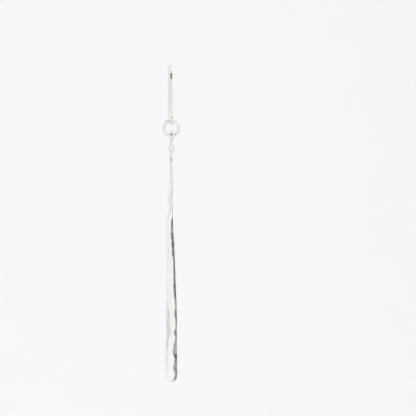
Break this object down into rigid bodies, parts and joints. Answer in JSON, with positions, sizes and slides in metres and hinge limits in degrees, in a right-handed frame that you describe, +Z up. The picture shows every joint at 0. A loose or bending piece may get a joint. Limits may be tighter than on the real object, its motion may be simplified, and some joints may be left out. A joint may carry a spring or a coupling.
{
  "type": "bar earring",
  "caption": "Hammered silver bar drop earring on a French ear hook, linked by a jump ring so that the bar swings.",
  "frame": {"origin": "underside of the ear hook's bow, where it hangs in the ear", "axes": "+Z up, the earring's front faces -Y, +X across the bar's face"},
  "size_m": [0.004, 0.0093, 0.072],
  "materials": {
    "ear_hook": "polished sterling silver wire, hammered over the bow",
    "jump_ring": "polished sterling silver wire",
    "bar": "polished, hand-hammered sterling silver"
  },
  "bodies": {
    "hook": {"ear_hook": "ear_hook"},
    "ring": {"jump_ring": "jump_ring"},
    "drop": {"bar": "bar"}
  },
  "joints": [
    {"name": "ring_swing", "type": "hinge", "parent": "hook", "child": "ring", "pos_m": [0, -0.00364, -0.013], "axis": [0, 1, 0], "range_deg": [-70, 70]},
    {"name": "bar_swing", "type": "hinge", "parent": "ring", "child": "drop", "pos_m": [0, -0.00364, -0.01566], "axis": [1, 0, 0], "range_deg": [-105, 105]}
  ]
}
